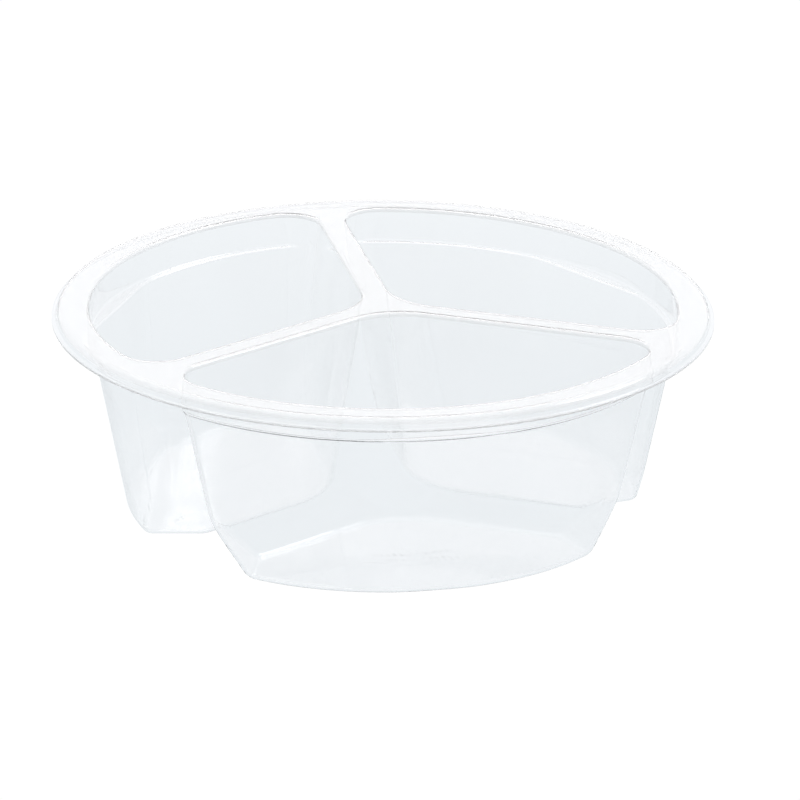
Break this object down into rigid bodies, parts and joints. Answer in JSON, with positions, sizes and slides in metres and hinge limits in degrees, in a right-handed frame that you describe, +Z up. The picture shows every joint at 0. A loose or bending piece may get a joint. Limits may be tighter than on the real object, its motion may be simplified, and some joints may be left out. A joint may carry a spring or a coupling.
{
  "type": "compartment tray",
  "caption": "Round clear thermoformed tray with equal sector-shaped wells parted by a Y web, a flat sealing deck and a flared snap rim.",
  "frame": {"origin": "middle of the tray, on the surface that its three floors stand on", "axes": "+Z up out of the open wells; -Y towards the middle of the front well, +X to the right; the webs run at 90, 210 and 330 degrees"},
  "size_m": [0.19, 0.19, 0.06],
  "materials": {
    "clear_plastic": "clear, glossy, faintly cool thermoformed sheet"
  },
  "bodies": {
    "root": {"sealing_deck": "clear_plastic", "rim_skirt": "clear_plastic", "front_collar": "clear_plastic", "front_outer_wall": "clear_plastic", "front_divider_wall": "clear_plastic", "front_floor": "clear_plastic", "left_collar": "clear_plastic", "left_outer_wall": "clear_plastic", "left_divider_wall": "clear_plastic", "left_floor": "clear_plastic", "right_collar": "clear_plastic", "right_outer_wall": "clear_plastic", "right_divider_wall": "clear_plastic", "right_floor": "clear_plastic"}
  },
  "joints": []
}
